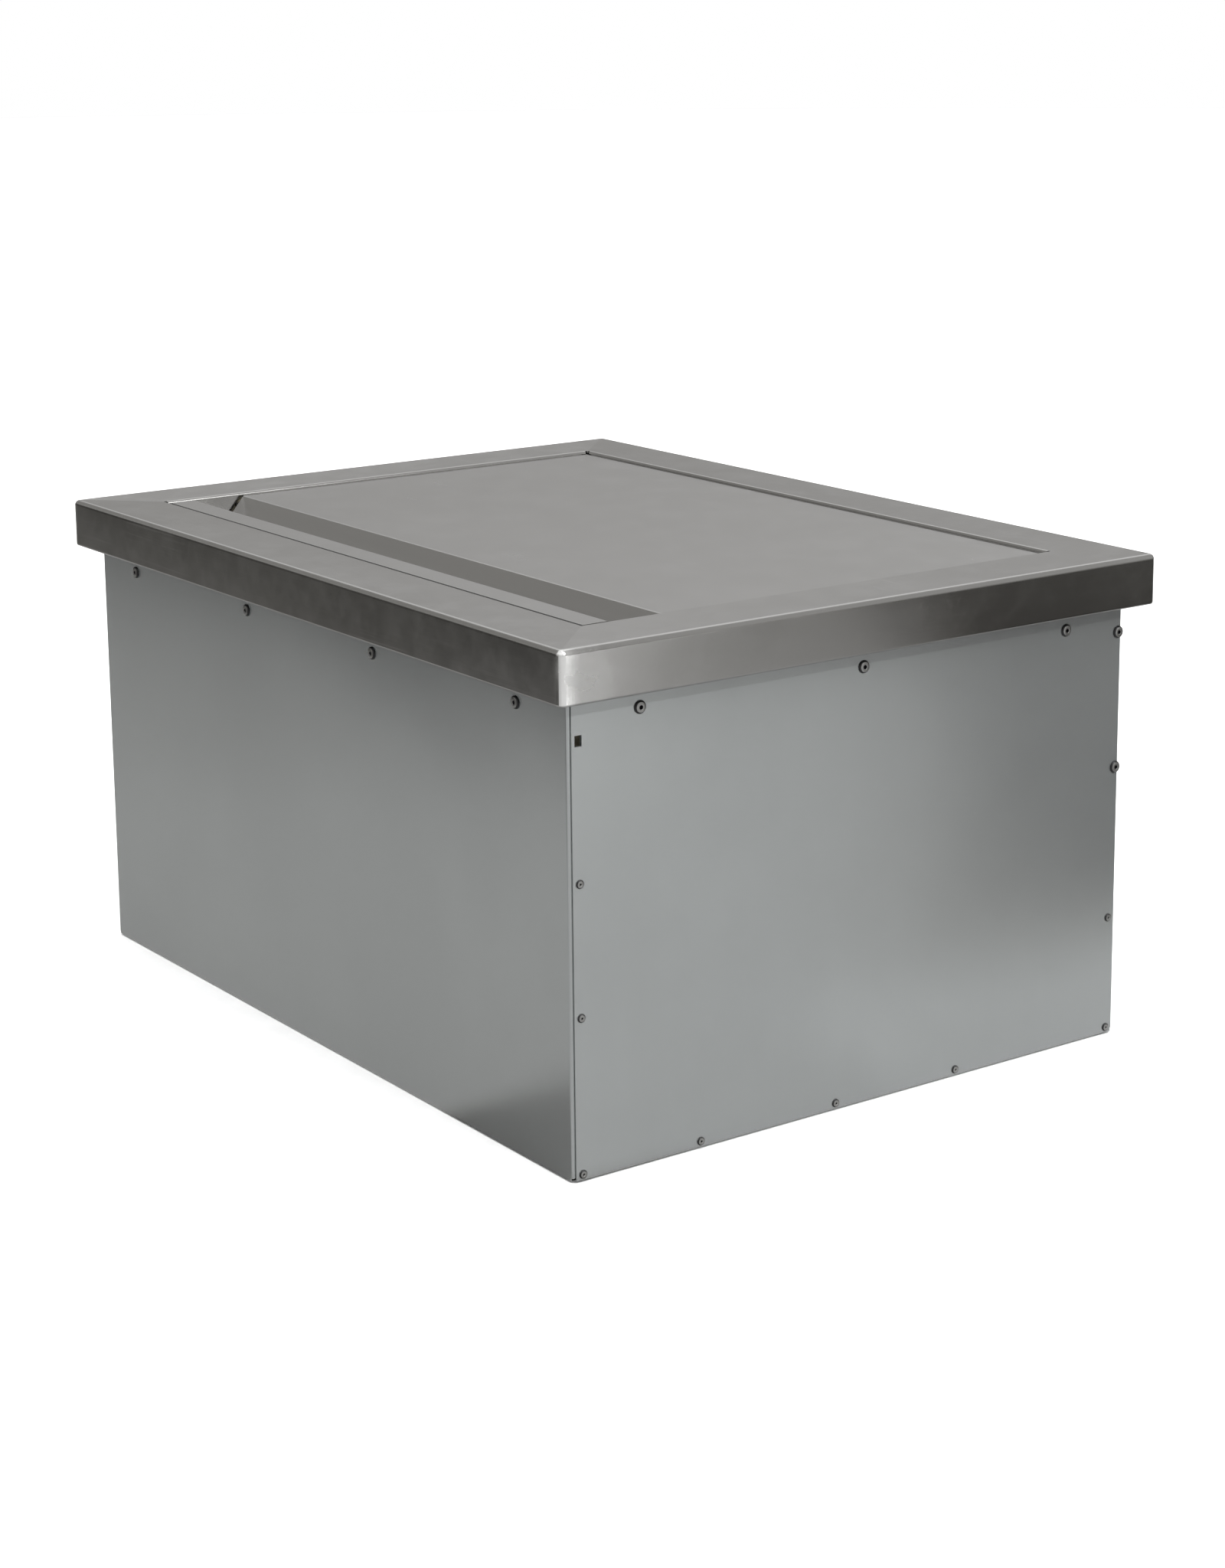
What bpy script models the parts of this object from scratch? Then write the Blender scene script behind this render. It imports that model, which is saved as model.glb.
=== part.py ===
"""Drop in ice bin: an insulated steel well under a brushed rim, with a lift-off lid that has a finger trough.

Metres, +Z up. The origin is the middle of the casing's bottom. X runs across the bin and Y along it. The
finger trough is on the -X side, and the near end panel faces -Y.
"""

import math

import bmesh
import bpy
from mathutils import Matrix, Vector

# Overall sizes.
rim_width = 0.4572
rim_length = 0.6096
total_height = 0.3190

# Rim: one sheet bent into a skirt, a top, a lid recess and a ledge.
rim_sheet = 0.0012
skirt_height = 0.0325
skirt_return = 0.0095
skirt_return_bend = 0.0016
rim_top_bend = 0.0035
rim_corner_radius = 0.0042
rim_border = 0.0485
recess_bend = 0.0020
recess_depth = 0.0170
recess_relief_radius = 0.0017
recess_relief_depth = 0.0024
ledge_width = 0.0120
ledge_bend = 0.0010

# Casing: a folded wrapper and two riveted end panels, set in under the rim.
rim_overhang = 0.0143
casing_sheet = 0.0008
casing_bend = 0.0016
casing_lap = 0.0160
wrapper_flange = 0.0120
corner_relief = 0.0010
end_panel_edge_gap = 0.0024
tab_hole_width = 0.0048
tab_hole_height = 0.0064
tab_hole_below_skirt = 0.0245
casing_drain_hole_radius = 0.0275

# Hanger angles under the rim, which carry the casing.
hanger_sheet = 0.0012
hanger_bend = 0.0016
hanger_drop = 0.0550
hanger_clearance = 0.0030

# Liner: the ice well.
liner_sheet = 0.0009
liner_corner_radius = 0.0220
liner_cove_radius = 0.0200
liner_lip_bend = 0.0015
liner_flange = 0.0110
floor_pitch = 0.0040
floor_flat_half = 0.0550
dish_radius = 0.0360
dish_slope = 0.0060
dish_depth = 0.0030

# Insulation boards.
board_thickness = 0.0350
board_drain_margin = 0.0050

# Lid: a bent top sheet with the trough, an underside pan and a board between them.
lid_gap = 0.0012
lid_sheet = 0.0010
lid_bend = 0.0018
lid_panel_drop = 0.0020
lid_strip_drop = 0.0008
lid_strip_width = 0.0201
lid_strip_return = 0.0040
lid_slot_width = 0.0380
trough_angle = math.radians(50)
pan_sheet = 0.0008
pan_flange = 0.0090
pan_bend = 0.0014

# Drain in the middle of the floor.
drain_shank_radius = 0.0167
drain_bore_radius = 0.0135
drain_shank_end = 0.0120
drain_flange_radius = 0.0310
drain_flange_thickness = 0.0020
strainer_radius = 0.0217
strainer_thickness = 0.0010
strainer_seat_depth = 0.0013
strainer_hole_radius = 0.0022
strainer_hole_ring_radius = 0.0082
strainer_hole_count = 6
gasket_radius = 0.0260
gasket_thickness = 0.0025
washer_thickness = 0.0008
locknut_half_flats = 0.0225
locknut_height = 0.0080
coupling_half_flats = 0.0215
coupling_bottom = 0.0010
coupling_height = 0.0190
coupling_stop_radius = 0.0125
coupling_stop_height = 0.0015

# Rivets.
big_head_radius = 0.0040
big_head_height = 0.0014
big_body_radius = 0.0020
big_core_radius = 0.0012
big_bulb_radius = 0.0025
small_head_radius = 0.0026
small_head_height = 0.0008
small_body_radius = 0.0014
small_core_radius = 0.0008
small_bulb_radius = 0.0019
rivet_tail = 0.0030
rivet_core_depth = 0.0006
top_rivet_below_skirt = 0.0111
side_rivet_margin = 0.0523
side_rivet_count = 4
end_rivet_margin = 0.0496
end_rivet_count = 3
edge_rivet_margin = 0.0070
bottom_rivet_height = 0.0044
replaced_rivet_margin = 0.0044
replaced_rivet_below_skirt = 0.0181

# Where the end panels' rivets sit, as shares of a column's height and of half the casing's width.
near_left_shares = (0.0, 0.367, 0.676)
near_right_shares = (0.0, 0.290)
near_replaced_shares = (0.664, 1.0)
near_bottom_shares = (-0.572, -0.092, 0.360)
far_column_shares = (0.0, 0.333, 0.667, 1.0)
far_bottom_shares = (-0.5, 0.0, 0.5)

# Fits and working allowances.
fit_gap = 0.0003
overrun = 0.0050

# Facets of round shapes.
bend_steps = 3
corner_steps = 4
turned_steps = 28
big_rivet_steps = 12
small_rivet_steps = 8
rivet_hole_sides = 8
strainer_hole_sides = 12

# Heights and half sizes worked out from the sizes above.
half_width = rim_width / 2
half_length = rim_length / 2
skirt_bottom = total_height - skirt_height
casing_half_width = half_width - rim_overhang
casing_half_length = half_length - rim_overhang
casing_top = skirt_bottom + casing_lap
wrapper_half_length = casing_half_length - casing_sheet - fit_gap
hanger_half_width = casing_half_width - casing_sheet - fit_gap
hanger_top = total_height - rim_sheet - fit_gap
recess_half_width = half_width - rim_border
recess_half_length = half_length - rim_border
hanger_reach = recess_half_width + rim_sheet + hanger_clearance
ledge_top = total_height - recess_depth
well_half_width = recess_half_width - ledge_width
well_half_length = recess_half_length - ledge_width
liner_top = ledge_top - rim_sheet - fit_gap
side_board_inner = well_half_width + liner_sheet + fit_gap
end_board_inner = well_half_length + liner_sheet + fit_gap
board_half_width = side_board_inner + board_thickness
board_half_length = end_board_inner + board_thickness
board_top = liner_top - liner_sheet - fit_gap
bottom_board_base = casing_sheet + fit_gap
bottom_board_top = bottom_board_base + board_thickness
floor_top = bottom_board_top + fit_gap + liner_sheet
dish_top = floor_top - dish_depth
lid_half_width = recess_half_width - lid_gap
lid_half_length = recess_half_length - lid_gap
lid_bottom = ledge_top + fit_gap
lid_panel_top = total_height - lid_panel_drop
lid_strip_top = total_height - lid_strip_drop
trough_floor = lid_bottom + lid_sheet
strip_edge = -lid_half_width + lid_strip_width
slope_top = strip_edge + lid_slot_width
slope_foot = slope_top - (lid_panel_top - trough_floor) / math.tan(trough_angle)
rivet_hole_depth = 4 * overrun
weld_distance = fit_gap / 100


# Scene

def clear_scene():
    for old in list(bpy.data.objects):
        bpy.data.objects.remove(old, do_unlink=True)


def add_collection(name):
    collection = bpy.data.collections.new(name)
    bpy.context.scene.collection.children.link(collection)
    return collection


def make_material(name, colour, roughness, metallic):
    material = bpy.data.materials.new(name)
    material.use_nodes = True
    shader = material.node_tree.nodes["Principled BSDF"]
    shader.inputs["Base Color"].default_value = (*colour, 1)
    shader.inputs["Roughness"].default_value = roughness
    shader.inputs["Metallic"].default_value = metallic
    material.diffuse_color = (*colour, 1)
    return material


clear_scene()
parts = add_collection("drop_in_ice_bin")
cutters = add_collection("cutters")
brushed_steel = make_material("brushed_steel", (0.56, 0.55, 0.53), 0.32, 1.0)
liner_steel = make_material("liner_steel", (0.60, 0.60, 0.59), 0.28, 1.0)
casing_steel = make_material("casing_steel", (0.46, 0.48, 0.48), 0.45, 1.0)
rivet_metal = make_material("rivet_metal", (0.50, 0.49, 0.47), 0.40, 1.0)
foam = make_material("foam", (0.80, 0.78, 0.70), 0.90, 0.0)
rubber = make_material("rubber", (0.03, 0.03, 0.03), 0.80, 0.0)
washer_plastic = make_material("washer_plastic", (0.75, 0.75, 0.72), 0.60, 0.0)


# Outlines of bent sheet

def arc_corner(before, corner, after, radius):
    """Points that round a corner of a flat path with an arc of that radius."""
    to_before = (before - corner).normalized()
    to_after = (after - corner).normalized()
    half_angle = to_before.angle(to_after) / 2
    centre = corner + (to_before + to_after).normalized() * radius / math.sin(half_angle)
    reach = radius / math.tan(half_angle)
    start = corner + to_before * reach - centre
    end = corner + to_after * reach - centre
    turn = -start.angle_signed(end)
    return [centre + Matrix.Rotation(turn * step / bend_steps, 2) @ start for step in range(bend_steps + 1)]


def bent_path(corners):
    """A flat path through (u, v, bend radius) corners, rounded where the radius isn't zero."""
    flat = [Vector((u, v)) for u, v, radius in corners]
    path = [flat[0]]
    for index in range(1, len(corners) - 1):
        radius = corners[index][2]
        if radius:
            path += arc_corner(flat[index - 1], flat[index], flat[index + 1], radius)
        else:
            path.append(flat[index])
    path.append(flat[-1])
    return path


def right_of(direction):
    return Vector((direction.y, -direction.x)).normalized()


def offset_path(path, distance):
    """The same path moved to its right-hand side, with mitred corners."""
    moved = []
    last = len(path) - 1
    for index, point in enumerate(path):
        arriving = right_of(point - path[index - 1]) if index else right_of(path[1] - point)
        leaving = right_of(path[index + 1] - point) if index < last else arriving
        middle = (arriving + leaving).normalized()
        moved.append(point + middle * distance / middle.dot(arriving))
    return moved


def sheet_outline(corners, thickness):
    """A closed outline of bent sheet: its seen face along the path, its back on the path's right."""
    face = bent_path(corners)
    return face + offset_path(face, thickness)[::-1]


# Solids

def add_object(name, mesh, material, collection=parts):
    made = bpy.data.objects.new(name, mesh)
    collection.objects.link(made)
    if material:
        mesh.materials.append(material)
    return made


def finish_mesh(builder, name):
    bmesh.ops.recalc_face_normals(builder, faces=builder.faces)
    mesh = bpy.data.meshes.new(name)
    builder.to_mesh(mesh)
    builder.free()
    return mesh


def block_solid(low, high):
    builder = bmesh.new()
    middle = (Vector(low) + Vector(high)) / 2
    size = Vector(high) - Vector(low)
    bmesh.ops.create_cube(builder, size=1, matrix=Matrix.Translation(middle) @ Matrix.Diagonal((*size, 1)))
    return builder


def add_block(name, low, high, material):
    return add_object(name, finish_mesh(block_solid(low, high), name), material)


def extrude_outline(name, outline, half, material, across=False):
    """A flat outline extruded both ways: one in X and Z along Y, or, across, one in Y and Z along X."""
    builder = bmesh.new()
    base = [builder.verts.new((-half, u, v) if across else (u, -half, v)) for u, v in outline]
    grown = bmesh.ops.extrude_face_region(builder, geom=[builder.faces.new(base)])["geom"]
    moved = [item for item in grown if isinstance(item, bmesh.types.BMVert)]
    bmesh.ops.translate(builder, verts=moved, vec=(2 * half, 0, 0) if across else (0, 2 * half, 0))
    return add_object(name, finish_mesh(builder, name), material)


def add_rows(builder, rows):
    """Faces that join neighbouring rows of points."""
    made = [[builder.verts.new(point) for point in row] for row in rows]
    for first, second in zip(made, made[1:]):
        for index in range(len(first) - 1):
            builder.faces.new((first[index], first[index + 1], second[index + 1], second[index]))


def fold_rows(start, end, inward, straight, bend, width, sign):
    """Rows of points of one end flange, from its fold line on the sheet's end round to its free edge."""
    rows = []
    for step in range(bend_steps + 1):
        angle = math.pi / 2 * step / bend_steps
        shift = inward * bend * (1 - math.cos(angle))
        y = sign * (straight + bend * math.sin(angle))
        rows.append([(point.x, y, point.y) for point in (start + shift, end + shift)])
    y = sign * (straight + bend)
    rows.append([(point.x, y, point.y) for point in (start + inward * width, end + inward * width)])
    return rows if sign > 0 else [row[::-1] for row in rows]


def folded_sheet(name, corners, half, thickness, material, folds, bend, width):
    """A sheet bent along a path in X and Z, extruded along Y, with the given runs folded in at both ends.

    The path is the seen face. The sheet lies on its right, or on its left for a thickness below zero.
    """
    builder = bmesh.new()
    straight = half - bend
    path = bent_path(corners)
    add_rows(builder, [[(point.x, y, point.y) for point in path] for y in (-straight, straight)])
    for start, end in folds:
        start = Vector(start)
        end = Vector(end)
        inward = right_of(end - start) * math.copysign(1, thickness)
        for sign in (-1, 1):
            add_rows(builder, fold_rows(start, end, inward, straight, bend, width, sign))
    bmesh.ops.remove_doubles(builder, verts=builder.verts, dist=weld_distance)
    mesh = bpy.data.meshes.new(name)
    builder.to_mesh(mesh)
    builder.free()
    made = add_object(name, mesh, material)
    shell = made.modifiers.new("sheet", "SOLIDIFY")
    shell.thickness = abs(thickness)
    shell.offset = -math.copysign(1, thickness)
    shell.use_even_offset = True
    return made


def rectangle_ring(half_x, half_y, radius, height):
    """Points round a rectangle with round corners; a radius of zero puts a corner's points in one place."""
    ring = []
    for quarter, (sign_x, sign_y) in enumerate(((1, 1), (-1, 1), (-1, -1), (1, -1))):
        for step in range(corner_steps + 1):
            angle = math.pi / 2 * (quarter + step / corner_steps)
            x = sign_x * (half_x - radius) + radius * math.cos(angle)
            y = sign_y * (half_y - radius) + radius * math.sin(angle)
            ring.append((x, y, height))
    return ring


def loft_rings(name, rings, material, capped):
    """A solid lofted through rings, either capped at both ends or closed on itself."""
    builder = bmesh.new()
    closed = [ring + ring[:1] for ring in rings]
    add_rows(builder, closed if capped else closed + closed[:1])
    if capped:
        for ring in (rings[0], rings[-1]):
            builder.faces.new([builder.verts.new(point) for point in ring])
    bmesh.ops.remove_doubles(builder, verts=builder.verts, dist=weld_distance)
    return add_object(name, finish_mesh(builder, name), material)


def profile_mesh(name, profile, material):
    """The edges of a profile in (radius, height) points; one that starts off the axis closes on itself."""
    builder = bmesh.new()
    points = [builder.verts.new((radius, 0, height)) for radius, height in profile]
    for first, second in zip(points, points[1:]):
        builder.edges.new((first, second))
    if profile[0][0] > 0:
        builder.edges.new((points[-1], points[0]))
    mesh = bpy.data.meshes.new(name)
    builder.to_mesh(mesh)
    builder.free()
    if material:
        mesh.materials.append(material)
    return mesh


def add_spin(made, steps):
    screw = made.modifiers.new("spin", "SCREW")
    screw.angle = math.tau
    screw.steps = steps
    screw.render_steps = steps
    screw.use_merge_vertices = True
    screw.merge_threshold = weld_distance
    return made


def turn_profile(name, profile, material, collection=parts):
    """A profile turned about the bin's middle axis."""
    return add_spin(add_object(name, profile_mesh(name, profile, material), None, collection), turned_steps)


def combine(target, helper, operation):
    """Cuts a helper out of a target or joins it on; the helper isn't a part by itself."""
    helper.hide_render = True
    helper.display_type = "WIRE"
    change = target.modifiers.new(helper.name, "BOOLEAN")
    change.operation = operation
    change.solver = "EXACT"
    change.object = helper


def cut_out(target, builder):
    """Cuts a builder's solids out of a target. They join its earlier ones, so that all are cut at once."""
    name = f"{target.name}_cuts"
    cutter = cutters.objects.get(name)
    if cutter:
        builder.from_mesh(cutter.data)
        cutter.data = finish_mesh(builder, name)
    else:
        combine(target, add_object(name, finish_mesh(builder, name), None, cutters), "DIFFERENCE")


def drill(target, middles, direction, radius, depth, sides):
    """Cuts round holes of one radius and direction through a target, each about its middle."""
    builder = bmesh.new()
    turn = Vector(direction).to_track_quat("Z", "Y").to_matrix().to_4x4()
    for middle in middles:
        bmesh.ops.create_cone(
            builder, cap_ends=True, segments=sides, radius1=radius, radius2=radius, depth=depth,
            matrix=Matrix.Translation(middle) @ turn,
        )
    cut_out(target, builder)


def carry(name, place, pieces):
    """An empty on a moving body's axis, with its pieces parented to it where they lie."""
    carrier = bpy.data.objects.new(name, None)
    carrier.location = place
    parts.objects.link(carrier)
    for piece in pieces:
        piece.parent = carrier
        piece.matrix_parent_inverse = Matrix.Translation(place).inverted()


# Rim

def build_rim():
    """The collar, lofted through rings: returned lower edge, skirt, top, recess wall and ledge."""
    corners = (
        (skirt_return, skirt_bottom, 0),
        (0, skirt_bottom, skirt_return_bend),
        (0, total_height, rim_top_bend),
        (rim_border, total_height, recess_bend),
        (rim_border, ledge_top, ledge_bend),
        (rim_border + ledge_width, ledge_top, 0),
    )
    rings = []
    for inset, height in sheet_outline(corners, rim_sheet):
        radius = max(rim_corner_radius - inset, 0)
        rings.append(rectangle_ring(half_width - inset, half_length - inset, radius, height))
    rim = loft_rings("rim_frame", rings, brushed_steel, capped=False)
    relieve_recess_corners(rim)


def relieve_recess_corners(rim):
    """Small round reliefs where the recess walls were bent down."""
    corners = [
        Vector((side_x * recess_half_width, side_y * recess_half_length, total_height))
        for side_x in (-1, 1) for side_y in (-1, 1)
    ]
    drill(rim, corners, (0, 0, 1), recess_relief_radius, 2 * recess_relief_depth, strainer_hole_sides)


# Casing

def build_wrapper():
    """One sheet round the left side, the bottom and the right side, each folded in at both ends."""
    flange_foot = casing_bend + corner_relief
    bottom_reach = casing_half_width - wrapper_flange - corner_relief
    corners = (
        (-casing_half_width, casing_top, 0),
        (-casing_half_width, flange_foot, 0),
        (-casing_half_width, 0, casing_bend),
        (-bottom_reach, 0, 0),
        (bottom_reach, 0, 0),
        (casing_half_width, 0, casing_bend),
        (casing_half_width, flange_foot, 0),
        (casing_half_width, casing_top, 0),
    )
    folds = (
        ((-casing_half_width, casing_top), (-casing_half_width, flange_foot)),
        ((-bottom_reach, 0), (bottom_reach, 0)),
        ((casing_half_width, flange_foot), (casing_half_width, casing_top)),
    )
    wrapper = folded_sheet(
        "casing_wrapper", corners, wrapper_half_length, -casing_sheet, casing_steel, folds, casing_bend,
        wrapper_flange,
    )
    drill(wrapper, [Vector((0, 0, 0))], (0, 0, 1), casing_drain_hole_radius, rivet_hole_depth, turned_steps)
    return wrapper


def build_end_panel(name, sign):
    half = casing_half_width - end_panel_edge_gap
    faces = sorted((sign * casing_half_length, sign * (casing_half_length - casing_sheet)))
    return add_block(name, (-half, faces[0], casing_sheet), (half, faces[1], casing_top), casing_steel)


def cut_tab_hole(sheets):
    """The small upright hole near the top of the near panel's left edge, and in the flange behind it."""
    across = -casing_half_width + edge_rivet_margin
    middle = Vector((across, -casing_half_length, skirt_bottom - tab_hole_below_skirt))
    reach = Vector((tab_hole_width / 2, overrun, tab_hole_height / 2))
    for sheet in sheets:
        cut_out(sheet, block_solid(middle - reach, middle + reach))


def hanger_outline(upright_face, level_edge):
    """An angle: an upright leg behind the casing, bent to a level leg against the rim's top."""
    corners = [
        (upright_face, hanger_top - hanger_drop, 0),
        (upright_face, hanger_top, hanger_bend),
        (level_edge, hanger_top, 0),
    ]
    return sheet_outline(corners, math.copysign(hanger_sheet, level_edge - upright_face))


def build_hangers():
    depth = hanger_half_width - hanger_reach
    side_half = recess_half_length
    end_half = casing_half_width - wrapper_flange - hanger_clearance
    hangers = {}
    for side, sign in (("left", -1), ("right", 1)):
        outline = hanger_outline(sign * hanger_half_width, sign * (hanger_half_width - depth))
        hangers[side] = extrude_outline(f"hanger_{side}", outline, side_half, casing_steel)
    for end, sign in (("near", -1), ("far", 1)):
        outline = hanger_outline(sign * wrapper_half_length, sign * (wrapper_half_length - depth))
        hangers[end] = extrude_outline(f"hanger_{end}", outline, end_half, casing_steel, across=True)
    return hangers


# Liner and insulation

def liner_ring(inset, height):
    radius = max(liner_corner_radius - inset, 0)
    return rectangle_ring(well_half_width - inset, well_half_length - inset, radius, height)


def build_liner():
    """The well, lofted through rings: flange, straight walls, coves, and a floor pitched to the drain."""
    floor_edge = floor_top + floor_pitch
    corners = (
        (-liner_flange, liner_top, 0),
        (0, liner_top, liner_lip_bend),
        (0, floor_edge, liner_cove_radius),
        (liner_corner_radius, floor_edge, 0),
    )
    face = bent_path(corners)
    back = offset_path(face, liner_sheet)
    rings = [rectangle_ring(floor_flat_half, floor_flat_half, 0, floor_top)]
    rings += [liner_ring(inset, height) for inset, height in face[::-1] + back]
    rings.append(rectangle_ring(floor_flat_half, floor_flat_half, 0, floor_top - liner_sheet))
    liner = loft_rings("inner_liner", rings, liner_steel, capped=True)
    press_drain_seat(liner)


def dish_profile(foot_radius, foot, top_radius, top):
    return ((0, top), (top_radius, top), (foot_radius, foot), (0, foot))


def press_drain_seat(liner):
    """A shallow dish pressed into the floor round the drain hole."""
    slope = dish_slope / dish_depth
    under = floor_top - liner_sheet / 2
    foot = dish_top - liner_sheet
    radius = dish_radius + liner_sheet
    outer = dish_profile(radius, foot, radius + slope * (under - foot), under)
    above = floor_top + overrun
    inner = dish_profile(dish_radius, dish_top, dish_radius + slope * (above - dish_top), above)
    combine(liner, turn_profile("dish_outside", outer, None, cutters), "UNION")
    combine(liner, turn_profile("dish_inside", inner, None, cutters), "DIFFERENCE")
    middle = Vector((0, 0, dish_top))
    drill(liner, [middle], (0, 0, 1), drain_shank_radius + fit_gap, 2 * overrun, turned_steps)


def build_boards():
    base = bottom_board_top + fit_gap
    end_half = side_board_inner - fit_gap
    for side, sign in (("left", -1), ("right", 1)):
        faces = sorted((sign * side_board_inner, sign * board_half_width))
        low = (faces[0], -board_half_length, base)
        add_block(f"board_{side}", low, (faces[1], board_half_length, board_top), foam)
    for end, sign in (("near", -1), ("far", 1)):
        faces = sorted((sign * end_board_inner, sign * board_half_length))
        add_block(f"board_{end}", (-end_half, faces[0], base), (end_half, faces[1], board_top), foam)
    bottom = add_block(
        "board_bottom", (-board_half_width, -board_half_length, bottom_board_base),
        (board_half_width, board_half_length, bottom_board_top), foam,
    )
    radius = dish_radius + dish_slope + board_drain_margin
    middle = Vector((0, 0, (bottom_board_base + bottom_board_top) / 2))
    drill(bottom, [middle], (0, 0, 1), radius, 2 * board_thickness, turned_steps)


# Drain

def add_ring(name, inner, outer, top, height, material):
    """A flat ring, and the height of its underside."""
    turn_profile(name, ((inner, top), (outer, top), (outer, top - height), (inner, top - height)), material)
    return top - height


def add_hexagon(name, half_flats, base, height):
    builder = bmesh.new()
    radius = half_flats / math.cos(math.pi / 6)
    bmesh.ops.create_cone(
        builder, cap_ends=True, segments=6, radius1=radius, radius2=radius, depth=height,
        matrix=Matrix.Translation((0, 0, base + height / 2)),
    )
    return add_object(name, finish_mesh(builder, name), rivet_metal)


def build_drain():
    """The drain from the floor down: body and strainer, then what clamps the body to the liner's dish."""
    seat = dish_top + fit_gap
    top = seat + drain_flange_thickness
    strainer_seat = top - strainer_seat_depth
    pocket = strainer_radius + fit_gap
    turn_profile("drain_body", (
        (pocket, top), (drain_flange_radius, top), (drain_flange_radius, seat), (drain_shank_radius, seat),
        (drain_shank_radius, drain_shank_end), (drain_bore_radius, drain_shank_end),
        (drain_bore_radius, strainer_seat), (pocket, strainer_seat),
    ), brushed_steel)
    build_strainer(strainer_seat + fit_gap)
    bore = drain_shank_radius + fit_gap
    under = dish_top - liner_sheet - fit_gap
    under = add_ring("drain_gasket", bore, gasket_radius, under, gasket_thickness, rubber) - fit_gap
    under = add_ring("drain_washer", bore, gasket_radius, under, washer_thickness, washer_plastic) - fit_gap
    locknut = add_hexagon("drain_locknut", locknut_half_flats, under - locknut_height, locknut_height)
    middle = Vector((0, 0, under - locknut_height / 2))
    drill(locknut, [middle], (0, 0, 1), bore, locknut_height + overrun, turned_steps)
    build_coupling(bore)


def build_strainer(base):
    """A round plate with a hole in its middle and a ring of holes, lying loose in the drain's seat."""
    profile = ((0, strainer_thickness), (strainer_radius, strainer_thickness), (strainer_radius, 0), (0, 0))
    strainer = turn_profile("drain_strainer", profile, brushed_steel)
    strainer.location.z = base
    places = [Vector((0, 0, base))]
    for index in range(strainer_hole_count):
        spin = Matrix.Rotation(math.tau * index / strainer_hole_count, 3, "Z")
        places.append(spin @ Vector((strainer_hole_ring_radius, 0, base)))
    drill(strainer, places, (0, 0, 1), strainer_hole_radius, 4 * strainer_thickness, strainer_hole_sides)


def build_coupling(bore):
    """A hexagonal coupling on the shank's end, with a stop inside and a socket for the pipe below it."""
    coupling = add_hexagon("drain_coupling", coupling_half_flats, coupling_bottom, coupling_height)
    above = coupling_bottom + coupling_height + overrun
    below = coupling_bottom - overrun
    stop_top = drain_shank_end - fit_gap
    stop_base = stop_top - coupling_stop_height
    passage = (
        (0, above), (bore, above), (bore, stop_top), (coupling_stop_radius, stop_top),
        (coupling_stop_radius, stop_base), (bore, stop_base), (bore, below), (0, below),
    )
    combine(coupling, turn_profile("coupling_passage", passage, None, cutters), "DIFFERENCE")


# Lid

def slope_underside(height):
    """How far across the bin the slope's hidden face lies at a height."""
    behind = lid_sheet / math.sin(trough_angle)
    return slope_top - (lid_panel_top - height) / math.tan(trough_angle) + behind


def build_lid_top():
    """One bent sheet: right edge, panel, the trough's slope, floor and front wall, and the strip over it."""
    inside_bend = lid_bend - lid_sheet
    front = -lid_half_width + lid_sheet
    strip_under = lid_strip_top - lid_sheet
    strip_inner = strip_edge - lid_sheet
    fold_right = lid_half_width - lid_bend - corner_relief
    fold_left = slope_top + lid_bend + corner_relief
    corners = (
        (lid_half_width, lid_bottom, 0),
        (lid_half_width, lid_panel_top, lid_bend),
        (fold_right, lid_panel_top, 0),
        (fold_left, lid_panel_top, 0),
        (slope_top, lid_panel_top, lid_bend),
        (slope_foot, trough_floor, inside_bend),
        (front, trough_floor, inside_bend),
        (front, strip_under, inside_bend),
        (strip_inner, strip_under, inside_bend),
        (strip_inner, lid_strip_top - lid_strip_return, 0),
    )
    folds = (((fold_right, lid_panel_top), (fold_left, lid_panel_top)),)
    height = lid_panel_top - lid_bottom
    return folded_sheet(
        "lid_top", corners, lid_half_length, -lid_sheet, brushed_steel, folds, lid_bend, height,
    )


def build_lid_pan():
    """The underside: a flat sheet turned up inside the lid's right edge and its ends."""
    right = lid_half_width - lid_sheet - fit_gap
    left = slope_underside(lid_bottom + pan_sheet) + fit_gap
    fold_left = slope_underside(lid_bottom + pan_flange) + fit_gap
    fold_right = right - pan_bend - corner_relief
    corners = (
        (left, lid_bottom, 0),
        (fold_left, lid_bottom, 0),
        (fold_right, lid_bottom, 0),
        (right, lid_bottom, pan_bend),
        (right, lid_bottom + pan_flange, 0),
    )
    folds = (((fold_left, lid_bottom), (fold_right, lid_bottom)),)
    half = lid_half_length - lid_sheet - fit_gap
    return folded_sheet("lid_pan", corners, half, -pan_sheet, brushed_steel, folds, pan_bend, pan_flange)


def build_lid_board():
    """The board between the lid's sheets, cut at the slope's angle."""
    base = lid_bottom + pan_sheet + fit_gap
    top = lid_panel_top - lid_sheet - fit_gap
    edge = lid_sheet + pan_sheet + 2 * fit_gap
    right = lid_half_width - edge
    room = fit_gap + lid_bend
    slope = [(slope_underside(height) + room, height) for height in (top, base)]
    outline = (*slope, (right, base), (right, top))
    return extrude_outline("lid_board", outline, lid_half_length - edge, foam)


# Rivets

def rivet_mesh(name, head, head_height, body, core, bulb, grip):
    """A set blind rivet's profile from the mandrel's end in its head to its tail. Zero is the sheet."""
    head_top = fit_gap + head_height
    tail = -grip - rivet_tail
    profile = (
        (0, head_top - rivet_core_depth),
        (core, head_top - rivet_core_depth),
        (core, head_top),
        ((core + head) / 2, head_top - head_height / 8),
        (head, fit_gap + head_height / 4),
        (head, fit_gap),
        (body, fit_gap),
        (body, -grip),
        (bulb, -grip - rivet_tail / 3),
        (core, tail),
        (0, tail),
    )
    return profile_mesh(name, profile, rivet_metal)


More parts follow.
